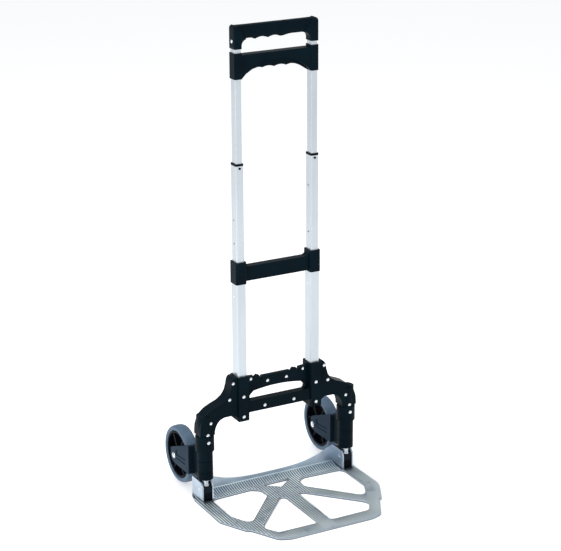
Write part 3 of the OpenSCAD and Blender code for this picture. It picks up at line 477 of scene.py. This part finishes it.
# ---- axle bolts and nuts ----------------------------------------------------------
# Bright zinc-plated steel: bolts with domed socket heads through both side plates, and
# hexagon nuts on the inner side that clamp them.
bolt_zinc = plated("bolt_zinc", (0.72, 0.75, 0.78), 0.2, (4, 1, 1))
for side in ("left", "right"):
    dress(f"{side}_axle_bolt", bolt_zinc)
    dress(f"{side}_axle_nut", bolt_zinc)

# ---- rims and bushes ----------------------------------------------------------------
# Black moulded rims with six spokes and a thin centre disc, and pale plain bushes pressed
# in their hubs, one from each side.
rim_plastic = moulded("rim_plastic", (0.002, 0.003, 0.006), 0.42)
bush_plastic = moulded("bush_plastic", (0.62, 0.60, 0.52), 0.5)
for side in ("left", "right"):
    softened(f"{side}_rim", rim_plastic, 0.0006)
    dress(f"{side}_hub_bushes", bush_plastic)

# ---- tyres ------------------------------------------------------------------------
# Solid grey rubber bands stretched on the rims: a crowned tread with a shallow groove near
# each shoulder.
tyre_round = 2.7
tyre_turns = 160
tyre_section = 72
groove_at = 0.72
groove_wide = 0.0006
groove_deep = 0.0005
tyre_grip = 0.0003


def rubber(name, colour):
    """Grey tyre rubber: matt, mottled with handling marks, with a fine pebbled skin."""
    material, tree, shader = paint(name, 0.5, 0.0, 0.3)
    worn = speckle(tree, 60.0)
    tint = between(tree, worn, shade(colour, 0.85), shade(colour, 1.12))
    tree.links.new(tint, shader.inputs["Base Color"])
    tree.links.new(spread(tree, worn, 0.42, 0.6), shader.inputs["Roughness"])
    relief(tree, shader, speckle(tree, 1100.0), 0.00006, 0.6)
    return material


def closed_grid(rows, columns):
    """Faces of a grid that closes on itself both ways, wound the same way round."""
    i, j = np.meshgrid(np.arange(rows), np.arange(columns), indexing="ij")
    i2, j2 = (i + 1) % rows, (j + 1) % columns
    corners = [i * columns + j, i2 * columns + j, i2 * columns + j2, i * columns + j2]
    return np.stack(corners, -1).reshape(-1, 4)


def tyre(name, low, high, inner, material, body):
    """A band of revolution about x: its section is a superellipse between the inner and the outer
    radius, less two narrow grooves, turned through a full circle."""
    middle = (np.array(low) + np.array(high)) / 2
    half_wide = (high[0] - low[0]) / 2
    outer = (high[2] - low[2]) / 2
    t = np.linspace(0, 2 * math.pi, tyre_section, endpoint=False)
    bulge = 2 / tyre_round
    across = half_wide * np.sign(np.cos(t)) * np.abs(np.cos(t)) ** bulge
    radial = (inner + outer) / 2 + (outer - inner) / 2 * np.sign(np.sin(t)) * np.abs(np.sin(t)) ** bulge
    groove = np.exp(-((np.abs(across) - groove_at * half_wide) / groove_wide) ** 2) * (np.sin(t) > 0)
    radial = radial - groove_deep * groove
    turn = np.linspace(0, 2 * math.pi, tyre_turns, endpoint=False)[:, None]
    points = np.zeros((tyre_turns, tyre_section, 3))
    points[..., 0] = middle[0] + across
    points[..., 1] = middle[1] + radial * np.cos(turn)
    points[..., 2] = middle[2] + radial * np.sin(turn)
    return made(name, points, closed_grid(tyre_turns, tyre_section), material, body)


tyre_rubber = rubber("tyre_rubber", (0.080, 0.132, 0.196))
rim_low, rim_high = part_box("left_rim")
rim_radius = (rim_high[2] - rim_low[2]) / 2
for side in ("left", "right"):
    band = tyre(f"{side}_tyre_band", *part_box(f"{side}_tyre"), rim_radius - tyre_grip, tyre_rubber,
                f"{side}_wheel")
    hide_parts(f"{side}_tyre")

# ---- casing ------------------------------------------------------------------------
# Two black moulded halves riveted round the leg posts and the outer tubes, with the
# carrying slot through both.
casing_plastic = moulded("casing_plastic", (0.0015, 0.0068, 0.011), 0.36)
for half in ("front", "rear"):
    softened(f"casing_{half}", casing_plastic, 0.0012)

# ---- rivets ---------------------------------------------------------------------------
# Bright steel rivets with domed heads, set through the casing halves, the tube sockets, the
# crossbar and the tubes' guides.
rivet_metal = plated("rivet_metal", (0.80, 0.83, 0.86), 0.16, (1, 1, 1))
for group in ("casing_rivets", "socket_rivets", "crossbar_rivets", "guide_rivets"):
    dress(group, rivet_metal)

# ---- outer tubes -----------------------------------------------------------------------
# Extruded aluminium tubes, satin anodised, drawn lengthwise so that fine lines run up them.
# The middle and inner tubes slide in them and have the same finish.


def anodised(name, colour, rough):
    """Satin anodised extrusion: fine lines along z over a very even skin."""
    material, tree, shader = paint(name, rough, 0.88)
    lines = speckle(tree, 420.0, (1, 1, 0.012), 3.0)
    cloud = speckle(tree, 9.0, (1, 1, 0.6), 2.0)
    tint = between(tree, cloud, shade(colour, 0.93), shade(colour, 1.05))
    tree.links.new(tint, shader.inputs["Base Color"])
    tree.links.new(spread(tree, lines, rough - 0.05, rough + 0.08), shader.inputs["Roughness"])
    relief(tree, shader, lines, 0.00002, 0.5)
    return material


tube_alloy = anodised("tube_alloy", (0.56, 0.61, 0.65), 0.34)
for stage in ("outer", "middle", "inner"):
    for side in ("left", "right"):
        dress(f"{side}_{stage}_tube", tube_alloy)

# ---- middle crossbar -------------------------------------------------------------------
# One black moulding with two sleeves that cap the outer tubes and hold them apart, its
# edges well rounded.
bar_plastic = moulded("bar_plastic", (0.0016, 0.0075, 0.0125), 0.36)
softened("mid_crossbar", bar_plastic, 0.0014)

# ---- small mouldings of the stages -----------------------------------------------------
# Glide rings, end plugs, push buttons and rod guides, all in the shoes' black nylon, pressed
# on or into the tubes.
for side in ("left", "right"):
    for part in ("glide_ring", "middle_plug", "button", "inner_plug"):
        dress(f"{side}_{part}", nylon)
dress("rod_guides", nylon)

# ---- top handle --------------------------------------------------------------------------
# A moulded handle with a rounded bar between two sleeves, and shallow finger grooves along
# its underside. Two screws hold it on the inner tubes.
handle_low, handle_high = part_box("top_handle")
sleeve_wide = 0.0176
sleeve_half_deep = (handle_high[1] - handle_low[1]) / 2
bar_half_deep = 0.0092
bar_under = handle_high[2] - 0.032
corner_round = 0.013
shoulder_round = 0.006
finger_pitch = 0.028
finger_from, finger_to = -0.042, 0.014
finger_rise = 0.0034


def finger_line(x):
    """Height of the handle's underside above its lowest line: half waves between the finger ridges, and
    a smooth rise to the plain ends."""
    wave = finger_rise * np.abs(np.sin(math.pi * (x - finger_to) / finger_pitch))
    ends = 0.0032 * (1 - np.cos(math.pi * np.clip((x - finger_to) / 0.024, 0, 1))) / 2
    lead = 0.0030 * (1 - np.cos(math.pi * np.clip((finger_from - x) / 0.010, 0, 1))) / 2
    return np.where(x > finger_to, ends, np.where(x < finger_from, lead, wave))


def quarter(centre, radius, start, stop, count):
    """Points on an arc round centre from start to stop, in degrees."""
    t = np.radians(np.linspace(start, stop, count))
    return np.stack([centre[0] + radius * np.cos(t), centre[1] + radius * np.sin(t)], 1)


def line(a, b, count):
    """Points from a to b."""
    return np.array(a) + np.linspace(0, 1, count)[:, None] * (np.array(b) - np.array(a))


def bar_shell(name, outer, inner, deep, y, squareness, material, body):
    """A bar whose front view lies between the lines outer and inner: at each pair of points the section
    is a superellipse, from one line to the other across and deep either way along y. Each end is closed
    by two shrinking rings."""
    ring = np.linspace(0, 2 * math.pi, 48, endpoint=False)
    power = 2 / np.asarray(squareness)[:, None]
    cu = np.sign(np.cos(ring)) * np.abs(np.cos(ring)) ** power
    sv = np.sign(np.sin(ring)) * np.abs(np.sin(ring)) ** power
    middle, half = (outer + inner) / 2, (outer - inner) / 2
    shrink = np.ones(len(outer))
    shrink[[0, -1]] = 0.0
    shrink[[1, -2]] = 0.93
    points = np.zeros((len(outer), len(ring), 3))
    points[..., 0] = middle[:, None, 0] + half[:, None, 0] * cu * shrink[:, None]
    points[..., 1] = y[:, None] + deep[:, None] * sv * shrink[:, None]
    points[..., 2] = middle[:, None, 1] + half[:, None, 1] * cu * shrink[:, None]
    faces = closed_grid(len(outer), len(ring))[: (len(outer) - 1) * len(ring)]
    piece = made(name, points, faces, material, body)
    fresh = bmesh.new()
    fresh.from_mesh(piece.data)
    bmesh.ops.remove_doubles(fresh, verts=fresh.verts, dist=1e-6)
    bmesh.ops.recalc_face_normals(fresh, faces=fresh.faces)
    fresh.to_mesh(piece.data)
    fresh.free()
    return piece


side_x = handle_high[0]
inner_x = side_x - sleeve_wide
top_z, foot_z = handle_high[2], handle_low[2]
arc_z = bar_under + 0.003 - corner_round
bar_x = np.linspace(-(inner_x - corner_round), inner_x - corner_round, 121)
outer_half = np.concatenate([
    line((-side_x, foot_z), (-side_x, foot_z), 2),
    line((-side_x, foot_z + 0.0004), (-side_x, top_z - shoulder_round), 9),
    quarter((shoulder_round - side_x, top_z - shoulder_round), shoulder_round, 175, 95, 9)])
inner_half = np.concatenate([
    line((-inner_x, foot_z), (-inner_x, foot_z), 2),
    line((-inner_x, foot_z + 0.0004), (-inner_x, arc_z), 9),
    quarter((corner_round - inner_x, arc_z), corner_round, 175, 95, 9)])
top_dip = 0.0012 * (1 - np.abs(bar_x / inner_x) ** 6)
outer_bar = np.stack([bar_x * (side_x - shoulder_round) / (inner_x - corner_round), top_z - top_dip], 1)
inner_bar = np.stack([bar_x, bar_under + finger_line(bar_x)], 1)
mirror = np.array([-1, 1])
outer_line = np.concatenate([outer_half, outer_bar, outer_half[::-1] * mirror])
inner_line = np.concatenate([inner_half, inner_bar, inner_half[::-1] * mirror])
middle_x = (outer_line[:, 0] + inner_line[:, 0]) / 2
near_end = np.clip((np.abs(middle_x) - inner_x + 0.0014) / 0.0028, 0, 1)
near_end = near_end ** 2 * (3 - 2 * near_end)
deep = bar_half_deep + (sleeve_half_deep - bar_half_deep) * near_end
centre_y = (handle_low[1] + handle_high[1]) / 2 + (sleeve_half_deep - bar_half_deep) * (1 - near_end)
handle = bar_shell("handle_bar", outer_line, inner_line, deep, centre_y,
                   3.2 + 4.0 * near_end, bar_plastic, "inner_stage")
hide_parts("top_handle")
dress("handle_screws", rivet_metal)

# ---- release grip ------------------------------------------------------------------------
# The black moulded grip that slides under the handle, and the zinc-plated rod and cross pin
# on each side that it pulls up to free the stages.
softened("release_grip", bar_plastic, 0.0016)
dress("release_rods", zinc)
dress("release_pins", zinc)

# ---- springs ------------------------------------------------------------------------------
# Blued spring steel: the strip springs with their nubs, and the coils that bring the grip back.
spring_steel = plated("spring_steel", (0.42, 0.45, 0.50), 0.3, (1, 1, 2))
for side in ("left", "right"):
    dress(f"{side}_snap_spring", spring_steel)
    dress(f"{side}_grip_spring", spring_steel)
